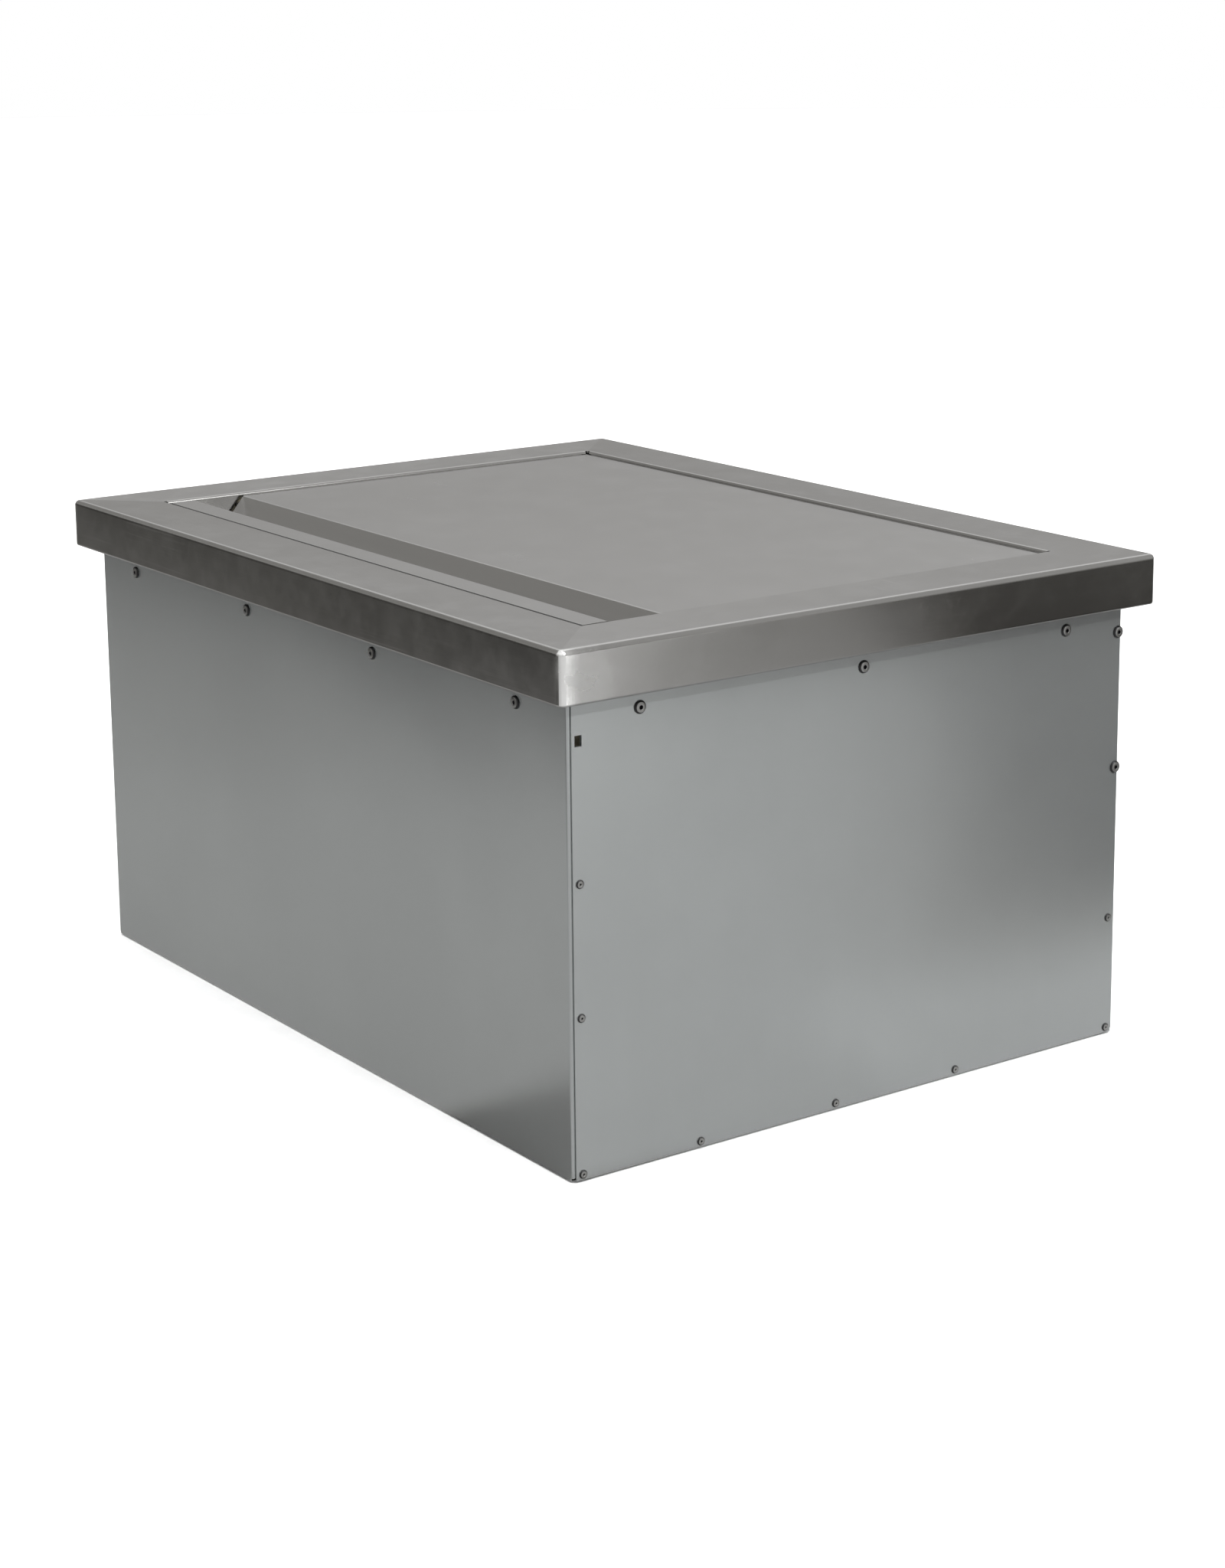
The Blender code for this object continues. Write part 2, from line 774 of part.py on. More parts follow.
def add_rivets(label, mesh, steps, places, outward, body, sheets):
    """Rivets through sheets at the given places, and the holes that they need."""
    for number, place in enumerate(places, 1):
        rivet = add_spin(add_object(f"{label}_{number}", mesh, None), steps)
        rivet.location = place
        rivet.rotation_euler = Vector(outward).to_track_quat("Z", "Y").to_euler()
    for sheet in sheets:
        drill(sheet, places, outward, body + fit_gap, rivet_hole_depth, rivet_hole_sides)


def spread(count, reach):
    """Even places from one reach to the other about the middle."""
    return [reach * (2 * index / (count - 1) - 1) for index in range(count)]


def column(x, y, top, shares):
    """Places up an end panel's edge, from the bottom row's height to a top one."""
    return [Vector((x, y, bottom_rivet_height + share * (top - bottom_rivet_height))) for share in shares]


def bottom_row(y, shares):
    return [Vector((share * casing_half_width, y, bottom_rivet_height)) for share in shares]


def build_rivets(wrapper, near_panel, far_panel, hangers):
    through_hanger = casing_sheet + fit_gap + hanger_sheet + fit_gap
    through_flange = 2 * (casing_sheet + fit_gap)
    big_sizes = (big_head_radius, big_head_height, big_body_radius, big_core_radius, big_bulb_radius)
    big = rivet_mesh("big_rivet", *big_sizes, through_hanger)
    big_edge = rivet_mesh("big_edge_rivet", *big_sizes, through_flange)
    small = rivet_mesh(
        "small_rivet", small_head_radius, small_head_height, small_body_radius, small_core_radius,
        small_bulb_radius, through_flange,
    )

    def add_big(label, places, outward, sheets):
        add_rivets(label, big, big_rivet_steps, places, outward, big_body_radius, sheets)

    def add_small(label, places, outward, sheets):
        add_rivets(label, small, small_rivet_steps, places, outward, small_body_radius, sheets)

    top = skirt_bottom - top_rivet_below_skirt
    for side, sign in (("left", -1), ("right", 1)):
        along = spread(side_rivet_count, casing_half_length - side_rivet_margin)
        places = [Vector((sign * casing_half_width, y, top)) for y in along]
        add_big(f"rivet_{side}", places, (sign, 0, 0), (wrapper, hangers[side]))
    for end, sign, panel in (("near", -1, near_panel), ("far", 1, far_panel)):
        across = spread(end_rivet_count, casing_half_width - end_rivet_margin)
        places = [Vector((x, sign * casing_half_length, top)) for x in across]
        add_big(f"rivet_{end}_top", places, (0, sign, 0), (panel, hangers[end]))

    edge = casing_half_width - edge_rivet_margin
    tab_height = skirt_bottom - tab_hole_below_skirt
    near = -casing_half_length
    replaced_top = skirt_bottom - replaced_rivet_below_skirt
    near_small = column(-edge, near, tab_height, near_left_shares)
    near_small += column(edge, near, tab_height, near_right_shares) + bottom_row(near, near_bottom_shares)
    add_small("rivet_near_edge", near_small, (0, -1, 0), (near_panel, wrapper))
    replaced = column(casing_half_width - replaced_rivet_margin, near, replaced_top, near_replaced_shares)
    add_rivets(
        "rivet_near_replaced", big_edge, big_rivet_steps, replaced, (0, -1, 0), big_body_radius,
        (near_panel, wrapper),
    )
    far = casing_half_length
    far_small = bottom_row(far, far_bottom_shares)
    for x in (-edge, edge):
        far_small += column(x, far, tab_height, far_column_shares)
    add_small("rivet_far_edge", far_small, (0, 1, 0), (far_panel, wrapper))


def build():
    build_rim()
    wrapper = build_wrapper()
    near_panel = build_end_panel("end_panel_near", -1)
    far_panel = build_end_panel("end_panel_far", 1)
    cut_tab_hole((near_panel, wrapper))
    hangers = build_hangers()
    build_liner()
    build_boards()
    build_drain()
    carry("lid", Vector((0, 0, lid_bottom)), (build_lid_top(), build_lid_pan(), build_lid_board()))
    build_rivets(wrapper, near_panel, far_panel, hangers)


build()
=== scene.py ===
"""Looks of the drop in ice bin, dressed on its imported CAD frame. Metres, +Z up, in the frame's own axes."""

import math
import random

import bmesh
import bpy
from mathutils import Euler, Matrix, Vector


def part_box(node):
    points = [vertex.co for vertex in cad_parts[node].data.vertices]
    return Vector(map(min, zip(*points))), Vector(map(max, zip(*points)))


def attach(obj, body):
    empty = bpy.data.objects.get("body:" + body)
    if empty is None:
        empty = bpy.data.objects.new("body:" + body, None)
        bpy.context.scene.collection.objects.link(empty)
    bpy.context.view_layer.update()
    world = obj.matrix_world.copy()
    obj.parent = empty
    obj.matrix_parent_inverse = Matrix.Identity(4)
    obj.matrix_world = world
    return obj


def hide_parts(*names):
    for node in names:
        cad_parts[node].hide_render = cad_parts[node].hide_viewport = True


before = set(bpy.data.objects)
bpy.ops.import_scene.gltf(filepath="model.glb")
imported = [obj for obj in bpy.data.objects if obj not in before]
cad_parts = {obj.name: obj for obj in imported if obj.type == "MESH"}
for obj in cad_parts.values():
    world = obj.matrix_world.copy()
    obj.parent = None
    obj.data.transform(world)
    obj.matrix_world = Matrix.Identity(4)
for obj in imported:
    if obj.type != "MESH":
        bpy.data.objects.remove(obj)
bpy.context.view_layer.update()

# Sizes repeated from the part's source.
RIM_SHEET = 0.0012
SKIRT_RETURN = 0.0095
SKIRT_RETURN_BEND = 0.0016
RIM_TOP_BEND = 0.0035
RIM_CORNER = 0.0042
RIM_BORDER = 0.0485
RECESS_BEND = 0.0020
RECESS_DEPTH = 0.0170
RELIEF_RADIUS = 0.0017
RELIEF_DEPTH = 0.0024
LEDGE_WIDTH = 0.0120
LEDGE_BEND = 0.0010
SKIRT_HEIGHT = 0.0325
CASING_SHEET = 0.0008
CASING_BEND = 0.0016
FLANGE = 0.0120
CORNER_RELIEF = 0.0010
DRAIN_HOLE = 0.0275
TAB_HOLE = (0.0048, 0.0064)
TAB_HOLE_BELOW_SKIRT = 0.0245
EDGE_RIVET_MARGIN = 0.0070
LID_SHEET = 0.0010
LID_BEND = 0.0018
LID_PANEL_DROP = 0.0020
LID_STRIP_DROP = 0.0008
LID_STRIP_WIDTH = 0.0201
LID_STRIP_RETURN = 0.0040
LID_SLOT_WIDTH = 0.0380
TROUGH_ANGLE = math.radians(50)
LINER_SHEET = 0.0009
LINER_CORNER = 0.0220
LINER_COVE = 0.0200
LINER_LIP_BEND = 0.0015
LINER_FLANGE = 0.0110
FLOOR_PITCH = 0.0040
FLOOR_FLAT = 0.0550
DISH_RADIUS = 0.0360
DISH_SLOPE = 0.0060
DISH_DEPTH = 0.0030
DRAIN_SHANK = 0.0167
FIT_GAP = 0.0003

# Rivets: head radius, head height and radius of the hollow in the crown. A node with a radius over
# BIG_RIVET_FROM is a big one. The crowns are dark inside the last two radii.
BIG_RIVET = (0.0040, 0.0014, 0.00125)
SMALL_RIVET = (0.0026, 0.0008, 0.00070)
BIG_RIVET_FROM = 0.0033
BIG_RIVET_DARK = 0.00135
SMALL_RIVET_DARK = 0.00070
RIVET_STEPS = 36
RIVET_SEED = 7

# How finely things are made.
BEND_STEPS = 10
CORNER_STEPS = 10
POST_STEPS = 20
ROUND_STEPS = 64
BORE_STEPS = 48
WELD = 2e-6
CUT_DEPTH = 0.020
CUT_OVERRUN = 0.005
PANEL_BEVEL = 0.00018

rim_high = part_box("rim_frame")[1]
HALF_W = rim_high.x
HALF_L = rim_high.y
HEIGHT = rim_high.z
SKIRT_BOTTOM = HEIGHT - SKIRT_HEIGHT
LEDGE_TOP = HEIGHT - RECESS_DEPTH


# Bent sheet

def arc_corner(before, corner, after, radius):
    to_before = (before - corner).normalized()
    to_after = (after - corner).normalized()
    half = to_before.angle(to_after) / 2
    centre = corner + (to_before + to_after).normalized() * radius / math.sin(half)
    reach = radius / math.tan(half)
    start = corner + to_before * reach - centre
    turn = -start.angle_signed(corner + to_after * reach - centre)
    return [centre + Matrix.Rotation(turn * i / BEND_STEPS, 2) @ start for i in range(BEND_STEPS + 1)]


def bent_path(corners):
    """A path through (u, v, bend radius) corners."""
    flat = [Vector((u, v)) for u, v, radius in corners]
    path = [flat[0]]
    for i in range(1, len(corners) - 1):
        radius = corners[i][2]
        path += arc_corner(flat[i - 1], flat[i], flat[i + 1], radius) if radius else [flat[i]]
    return path + [flat[-1]]


def right_of(direction):
    return Vector((direction.y, -direction.x)).normalized()


def offset_path(path, distance):
    moved = []
    for i, point in enumerate(path):
        arriving = right_of(point - path[i - 1]) if i else right_of(path[1] - point)
        leaving = right_of(path[i + 1] - point) if i < len(path) - 1 else arriving
        middle = (arriving + leaving).normalized()
        moved.append(point + middle * distance / middle.dot(arriving))
    return moved


def add_rows(builder, rows):
    """Quads between rows of points."""
    made = [[builder.verts.new(point) for point in row] for row in rows]
    for first, second in zip(made, made[1:]):
        for i in range(len(first) - 1):
            builder.faces.new((first[i], first[i + 1], second[i + 1], second[i]))


def add_to_scene(name, data):
    made = bpy.data.objects.new(name, data)
    bpy.context.scene.collection.objects.link(made)
    return made


def add_object(name, mesh, material=None):
    if material:
        mesh.materials.append(material)
    return add_to_scene(name, mesh)


def to_mesh(builder, name, normals=True):
    if normals:
        bmesh.ops.recalc_face_normals(builder, faces=builder.faces)
    mesh = bpy.data.meshes.new(name)
    builder.to_mesh(mesh)
    builder.free()
    return mesh


def apply_modifiers(made):
    """Turns an object's modifiers into its mesh."""
    graph = bpy.context.evaluated_depsgraph_get()
    graph.update()
    mesh = bpy.data.meshes.new_from_object(made.evaluated_get(graph), depsgraph=graph)
    old = made.data
    made.modifiers.clear()
    made.data = mesh
    bpy.data.meshes.remove(old)


def smooth(made, degrees=32):
    """Shades bends smooth and keeps flats flat and sheet edges sharp."""
    mesh = made.data
    mesh.polygons.foreach_set("use_smooth", [True] * len(mesh.polygons))
    mesh.set_sharp_from_angle(angle=math.radians(degrees))
    weighted = made.modifiers.new("flats", "WEIGHTED_NORMAL")
    weighted.keep_sharp = True
    weighted.weight = 100
    apply_modifiers(made)


def folded_sheet(name, corners, half, thickness, folds, bend, width, material):
    """A sheet bent along a path in X and Z, extruded along Y, with the given runs folded in at both ends.

    The path is the sheet's outer face, and the thickness goes in from it."""
    builder = bmesh.new()
    straight = half - bend
    path = bent_path(corners)
    add_rows(builder, [[(p.x, y, p.y) for p in path] for y in (-straight, straight)])
    for start, end in folds:
        start, end = Vector(start), Vector(end)
        inward = -right_of(end - start)
        for sign in (-1, 1):
            rows = []
            for i in range(BEND_STEPS + 1):
                angle = math.pi / 2 * i / BEND_STEPS
                shift = inward * bend * (1 - math.cos(angle))
                y = sign * (straight + bend * math.sin(angle))
                rows.append([(p.x, y, p.y) for p in (start + shift, end + shift)])
            rows.append([(p.x, sign * half, p.y) for p in (start + inward * width, end + inward * width)])
            add_rows(builder, rows if sign > 0 else [row[::-1] for row in rows])
    bmesh.ops.remove_doubles(builder, verts=builder.verts, dist=WELD)
    made = add_object(name, to_mesh(builder, name, normals=False), material)
    shell = made.modifiers.new("sheet", "SOLIDIFY")
    shell.thickness = thickness
    shell.offset = 1
    shell.use_even_offset = True
    apply_modifiers(made)
    return made


def rectangle_ring(half_x, half_y, radius, height):
    ring = []
    for quarter, (sx, sy) in enumerate(((1, 1), (-1, 1), (-1, -1), (1, -1))):
        for i in range(CORNER_STEPS + 1):
            angle = math.pi / 2 * (quarter + i / CORNER_STEPS)
            ring.append((
                sx * (half_x - radius) + radius * math.cos(angle),
                sy * (half_y - radius) + radius * math.sin(angle), height,
            ))
    return ring


def loft_rings(name, rings, material, capped):
    """A skin over rings: capped at its first and last ring, or closed from the last to the first."""
    builder = bmesh.new()
    closed = [ring + ring[:1] for ring in rings]
    add_rows(builder, closed if capped else closed + closed[:1])
    if capped:
        for ring in (rings[0], rings[-1]):
            builder.faces.new([builder.verts.new(point) for point in ring])
    bmesh.ops.remove_doubles(builder, verts=builder.verts, dist=WELD)
    return add_object(name, to_mesh(builder, name), material)


def turned(name, profile, steps, material=None):
    """A (radius, height) profile, from axis to axis, turned about Z."""
    builder = bmesh.new()
    rows = []
    for i in range(steps + 1):
        angle = math.tau * i / steps
        rows.append([(r * math.cos(angle), r * math.sin(angle), z) for r, z in profile])
    add_rows(builder, rows)
    bmesh.ops.remove_doubles(builder, verts=builder.verts, dist=WELD)
    return add_object(name, to_mesh(builder, name), material)


def block_mesh(low, high, name):
    builder = bmesh.new()
    middle = (Vector(low) + Vector(high)) / 2
    size = Vector(high) - Vector(low)
    bmesh.ops.create_cube(builder, size=1, matrix=Matrix.Translation(middle) @ Matrix.Diagonal((*size, 1)))
    return to_mesh(builder, name)


def combine(target, cutter, operation="DIFFERENCE"):
    change = target.modifiers.new("cut", "BOOLEAN")
    change.operation = operation
    change.solver = "EXACT"
    change.object = cutter
    apply_modifiers(target)
    bpy.data.objects.remove(cutter, do_unlink=True)


def post(name, places, radius, depth, steps=POST_STEPS):
    """Upright round posts, centred on the places, to cut with."""
    builder = bmesh.new()
    for place in places:
        bmesh.ops.create_cone(
            builder, cap_ends=True, segments=steps, radius1=radius, radius2=radius, depth=depth,
            matrix=Matrix.Translation(place),
        )
    return add_object(name, to_mesh(builder, name))


def dress(made, body, slot, *nodes):
    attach(made, body)
    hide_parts(*nodes)


# Material graphs

def shade(tone, factor):
    return tuple(min(1, c * factor) for c in tone)


class Graph:
    """Short calls that add and link shader nodes."""

    def __init__(self, name):
        self.material = bpy.data.materials.new(name)
        self.material.use_nodes = True
        self.tree = self.material.node_tree
        self.shader = self.tree.nodes["Principled BSDF"]
        self.coords = self.add("ShaderNodeTexCoord").outputs["Object"]

    def add(self, kind, **settings):
        node = self.tree.nodes.new(kind)
        for key, value in settings.items():
            setattr(node, key, value)
        return node

    def put(self, socket, value):
        if isinstance(value, bpy.types.NodeSocket):
            self.tree.links.new(value, socket)
        else:
            socket.default_value = value

    def split(self, vector):
        node = self.add("ShaderNodeSeparateXYZ")
        self.put(node.inputs[0], vector)
        return node.outputs

    def math(self, operation, *values, clamp=False):
        node = self.add("ShaderNodeMath", operation=operation, use_clamp=clamp)
        for socket, value in zip(node.inputs, values):
            self.put(socket, value)
        return node.outputs[0]

    def vector(self, operation, *values):
        node = self.add("ShaderNodeVectorMath", operation=operation)
        for socket, value in zip(node.inputs, values):
            self.put(socket, value)
        return node.outputs["Value" if operation == "LENGTH" else "Vector"]

    def product(self, first, *others):
        for other in others:
            first = self.math("MULTIPLY", first, other)
        return first

    def weighted(self, *parts):
        """The sum of (level, share) parts."""
        first, *others = (self.math("MULTIPLY", level, share) for level, share in parts)
        for other in others:
            first = self.math("ADD", first, other)
        return first

    def range(self, value, low, high, to_low=0, to_high=1, kind="LINEAR"):
        node = self.add("ShaderNodeMapRange", interpolation_type=kind)
        for socket, item in zip(node.inputs, (value, low, high, to_low, to_high)):
            self.put(socket, item)
        return node.outputs[0]

    def fade(self, value, low, high, to_low=1, to_high=0):
        """A soft change, from 1 to 0 where nothing else is said."""
        return self.range(value, low, high, to_low, to_high, "SMOOTHSTEP")

    def stretched(self, scale, turn=(0, 0, 0)):
        node = self.add("ShaderNodeMapping")
        self.put(node.inputs["Vector"], self.coords)
        node.inputs["Rotation"].default_value = turn
        node.inputs["Scale"].default_value = scale
        return node.outputs[0]

    def noise(self, scale, detail, roughness, distortion=0.0, vector=None):
        node = self.add("ShaderNodeTexNoise")
        self.put(node.inputs["Vector"], vector or self.coords)
        node.inputs["Scale"].default_value = scale
        node.inputs["Detail"].default_value = detail
        node.inputs["Roughness"].default_value = roughness
        node.inputs["Distortion"].default_value = distortion
        return node.outputs["Fac"]

    def mix(self, factor, first, second, kind="FLOAT"):
        node = self.add("ShaderNodeMix", data_type=kind)
        wanted = "VALUE" if kind == "FLOAT" else kind
        self.put(node.inputs[0], factor)
        ends = [s for s in node.inputs if s.type == wanted and s.name in ("A", "B")]
        for socket, value in zip(ends, (first, second)):
            self.put(socket, value)
        return next(s for s in node.outputs if s.type == wanted)

    def tint(self, level, *ends):
        """A colour between two, each a socket or a tone, by a level from 0 to 1."""
        colours = [(*end, 1) if isinstance(end, tuple) else end for end in ends]
        return self.mix(level, *colours, "RGBA")

    def bump(self, height, distance, normal=None):
        node = self.add("ShaderNodeBump")
        self.put(node.inputs["Height"], height)
        node.inputs["Distance"].default_value = distance
        node.inputs["Strength"].default_value = 1.0
        if normal:
            self.put(node.inputs["Normal"], normal)
        return node.outputs["Normal"]

    def set(self, **values):
        for name, value in values.items():
            self.put(self.shader.inputs[name.replace("_", " ")], value)
        return self.material


# Brushed steel: repeats of noise per metre across and along the grain, with the noise's detail.
FINE_GRAIN = (1500.0, 14.0, 2.0)
BROAD_GRAIN = (1500.0 / 7, 14.0 / 3, 3.0)
STEEL_CONTRAST = 0.04
STEEL_GRAIN_HEIGHT = 0.000010
STEEL_WAVE_HEIGHT = 0.00036
STEEL_ANISOTROPY = 0.95
GRAIN_TURN = 0.25
SHINE_CHANGE = 0.02
SMUDGE_SHINE = 0.04
HAIRLINE_SHINE = 0.05

# Weld polish, and a painted highlight on the frame's left corners, by distance from the frame's left and
# right sides (X) and from its ends (Y): (full, gone).
POLISH_X = (0.012, 0.055)
POLISH_Y = (0.001, 0.008)
POLISH_REST = 0.15
POLISH_RIGHT = 0.20
POLISH_MIDDLE = (-0.1, 0.1)
POLISH_TONE = (0.62, 0.62, 0.61)
POLISH_SHINE = 0.14
CORNER_HIGHLIGHT_X = (0.002, 0.015)
CORNER_HIGHLIGHT_Y = (0.001, 0.005)
CORNER_HIGHLIGHT_TONE = (0.93, 0.93, 0.92)

# Painted shadow on the outer edge of the lid's strip, where it bends down into the gap, and painted shade
# along the skirt's lower edge.
SEAM_IN = 0.0013
SEAM_WIDTH = 0.0003
SEAM_SHADE = 0.22
SKIRT_EDGE_SHADE = (0.0004, 0.0016)
SKIRT_EDGE_SHADE_FACTOR = 0.20
SKIRT_EDGE_SHADE_SHARE = 0.45

# Mill sheet, and the painted shadow of the skirt, a band on the near panel just under it: (gone, full) from
# the skirt's lower edge.
MILL_CONTRAST = (0.94, 1.05)
MILL_METALLIC = 0.8
MILL_ROUGHNESS = (0.23, 0.25)
MILL_WAVE_HEIGHT = 0.0022
MILL_HAIRLINE_SHINE = 0.02
MILL_HAIRLINE_LEVEL = -0.20
SKIRT_SHADOW_BAND = (-0.0100, -0.0092)
SKIRT_SHADOW_SHARE = 0.20
SKIRT_SHADOW_DEPTH = 0.001
SKIRT_SHADOW_TONE = (0.12, 0.12, 0.12)

RIVET_SHADE_TONE = (0.012, 0.012, 0.014)
NOISE_SPAN = (0.3, 0.7)


def grain_levels(g, axis):
    """Fine and broad streaks that run along one axis, 0, 1 or 2."""
    levels = []
    for across, along, detail in (FINE_GRAIN, BROAD_GRAIN):
        scale = [across, across, across]
        scale[axis] = along
        levels.append(g.noise(scale=1.0, detail=detail, roughness=0.6, vector=g.stretched(scale)))
    return levels


def scratches(g, turn, density=0.06, across=420.0, along=7.0):
    """Sparse hairlines at an angle: 1 on a line and 0 elsewhere."""
    field = g.noise(scale=1.0, detail=1.0, roughness=0.4, vector=g.stretched((across, along, across), turn))
    line = g.range(field, 0.72 - density, 0.76 - density / 2)
    patch = g.noise(scale=9.0, detail=2.0, roughness=0.5)
    return g.product(line, g.range(patch, 0.52, 0.66))


def weld_polish_and_corner_highlight(g, x, y):
    """Cloudy spots round the frame's welds, weaker on the right, and a painted highlight on the left corners,
    0 to 1.
    """
    near_x = g.math("SUBTRACT", HALF_W, g.math("ABSOLUTE", x))
    near_y = g.math("SUBTRACT", HALF_L, g.math("ABSOLUTE", y))
    spots = g.product(
        g.fade(g.noise(scale=55.0, detail=3.0, roughness=0.55), 0.34, 0.74, 0, 1),
        g.fade(near_x, *POLISH_X),
        g.range(x, *POLISH_MIDDLE, 1, POLISH_RIGHT),
        g.fade(near_y, *POLISH_Y, 1, POLISH_REST),
    )
    # Painted highlight: the frame's left corners made near white close to the ends.
    left = g.math("LESS_THAN", x, 0.0)
    corner_highlight = g.product(g.fade(near_x, *CORNER_HIGHLIGHT_X), g.range(near_y, *CORNER_HIGHLIGHT_Y, 1, 0), left)
    return spots, corner_highlight


def brushed_steel(name, tone, axis=None, roughness=0.16, seam=None):
    """Belt-brushed stainless. Without an axis it is the mitred frame, whose grain follows each side."""
    g = Graph(name)
    x, y, z = g.split(g.coords)
    if axis is None:
        out_x = g.math("SUBTRACT", g.math("ABSOLUTE", x), HALF_W)
        out_y = g.math("SUBTRACT", g.math("ABSOLUTE", y), HALF_L)
        side = g.math("GREATER_THAN", out_x, out_y)
        fine, broad = (g.mix(side, *pair) for pair in zip(grain_levels(g, 0), grain_levels(g, 1)))
        tangent = g.mix(side, (1, 0, 0), (0, 1, 0), "VECTOR")
    else:
        fine, broad = grain_levels(g, axis)
        direction = g.add("ShaderNodeCombineXYZ")
        direction.inputs[axis].default_value = 1.0
        tangent = direction.outputs[0]
    cloud = g.noise(scale=7.0, detail=4.0, roughness=0.55)
    smudge = g.noise(scale=38.0, detail=5.0, roughness=0.6, distortion=0.6)
    marks = scratches(g, (0.35, 0.2, 0.6))
    level = g.weighted((fine, 0.45), (broad, 0.55))
    level = g.weighted((g.range(level, *NOISE_SPAN), 0.7), (cloud, 0.3))
    colour = g.tint(level, shade(tone, 1 - STEEL_CONTRAST), shade(tone, 1 + STEEL_CONTRAST))
    shine = g.range(level, 0, 1, roughness + SHINE_CHANGE, roughness - SHINE_CHANGE)
    shine = g.math("ADD", shine, g.range(smudge, 0.45, 0.75, 0, SMUDGE_SHINE))
    shine = g.math("ADD", shine, g.product(marks, HAIRLINE_SHINE))
    waves = g.bump(g.noise(scale=11.0, detail=1.0, roughness=0.4), STEEL_WAVE_HEIGHT)
    normal = g.bump(g.math("ADD", fine, g.product(broad, 0.8)), STEEL_GRAIN_HEIGHT, waves)
    if seam:
        # Painted shadow: the outer edge of the lid's strip darkened where it bends down into the gap.
        colour = g.tint(g.range(x, seam, seam + SEAM_WIDTH, 1, 0), colour, shade(tone, SEAM_SHADE))
    if axis is None:
        polish, corner_highlight = weld_polish_and_corner_highlight(g, x, y)
        # Weld polish spots, then the painted highlight on the left corners.
        colour = g.tint(corner_highlight, g.tint(polish, colour, POLISH_TONE), CORNER_HIGHLIGHT_TONE)
        shine = g.math("ADD", shine, g.product(polish, POLISH_SHINE))
        # Painted shade: the skirt darkened along its lower edge, where the sheet folds back under.
        low, high = (SKIRT_BOTTOM + rise for rise in SKIRT_EDGE_SHADE)
        unshaded = g.range(z, low, high, SKIRT_EDGE_SHADE_SHARE, 1)
        colour = g.tint(unshaded, shade(tone, SKIRT_EDGE_SHADE_FACTOR), colour)
    g.put(g.shader.inputs["Tangent"], tangent)
    return g.set(
        Base_Color=colour, Metallic=1.0, Roughness=shine,
        Anisotropic=STEEL_ANISOTROPY, Anisotropic_Rotation=GRAIN_TURN, Normal=normal,
    )


def mill_sheet(name, tone):
    """Dull rolled sheet: fine mottling, faint rolling lines, handling marks, a few hairline scratches and the
    skirt's painted shadow on the near panel.
    """
    g = Graph(name)
    _, y, z = g.split(g.coords)
    speckle = g.noise(scale=900.0, detail=2.0, roughness=0.6)
    mottle = g.noise(scale=60.0, detail=5.0, roughness=0.65)
    cloud = g.noise(scale=6.0, detail=4.0, roughness=0.55, distortion=0.4)
    rolled = g.noise(scale=1.0, detail=2.0, roughness=0.5, vector=g.stretched((700.0, 700.0, 9.0)))
    marks = scratches(g, (0.5, 0.3, 1.1))
    marks = g.math("MAXIMUM", marks, scratches(g, (-0.4, 0.9, 0.3), density=0.05, across=380.0, along=6.0))
    level = g.weighted((speckle, 0.10), (mottle, 0.12), (cloud, 0.60), (rolled, 0.18))
    level = g.math("ADD", g.range(level, *NOISE_SPAN), g.product(marks, MILL_HAIRLINE_LEVEL), clamp=True)
    shine = g.range(mottle, *NOISE_SPAN, *MILL_ROUGHNESS)
    shine = g.math("ADD", shine, g.product(marks, MILL_HAIRLINE_SHINE))
    normal = g.bump(g.noise(scale=5.0, detail=1.0, roughness=0.4), MILL_WAVE_HEIGHT)
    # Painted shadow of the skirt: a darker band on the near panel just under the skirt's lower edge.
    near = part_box("end_panel_near")[1].y
    low, high = (SKIRT_BOTTOM + rise for rise in SKIRT_SHADOW_BAND)
    skirt_shadow = g.product(g.range(z, low, high, 0, SKIRT_SHADOW_SHARE), g.range(y, near, near + SKIRT_SHADOW_DEPTH, 1, 0))
    colour = g.tint(level, *(shade(tone, factor) for factor in MILL_CONTRAST))
    colour = g.tint(skirt_shadow, colour, SKIRT_SHADOW_TONE)
    return g.set(Base_Color=colour, Metallic=MILL_METALLIC, Roughness=shine, Normal=normal)


def rivet_metal(name, tone, rivet=None):
    """Set aluminium or turned steel: a rivet has painted shade in its hollow and round its head's edge."""
    g = Graph(name)
    wear = g.noise(scale=900.0, detail=4.0, roughness=0.6)
    broad = g.noise(scale=55.0, detail=2.0, roughness=0.5)
    level = g.weighted((wear, 0.6), (broad, 0.4))
    colour = g.tint(g.range(level, *NOISE_SPAN), shade(tone, 0.75), tone)
    if rivet:
        head, hollow = rivet
        # Painted shade: darkened inside the crown's hollow and in a ring round the head's edge.
        radius = g.vector("LENGTH", g.vector("MULTIPLY", g.coords, (1, 1, 0)))
        unshaded = g.fade(radius, hollow * 0.88, hollow * 1.02, 0, 1)
        unshaded = g.product(unshaded, g.fade(radius, head * 0.72, head * 0.82, 1, 0.10))
        colour = g.tint(unshaded, RIVET_SHADE_TONE, colour)
    return g.set(
        Base_Color=colour, Metallic=1.0, Roughness=g.range(wear, *NOISE_SPAN, 0.26, 0.46),
        Normal=g.bump(wear, 0.00002),
    )


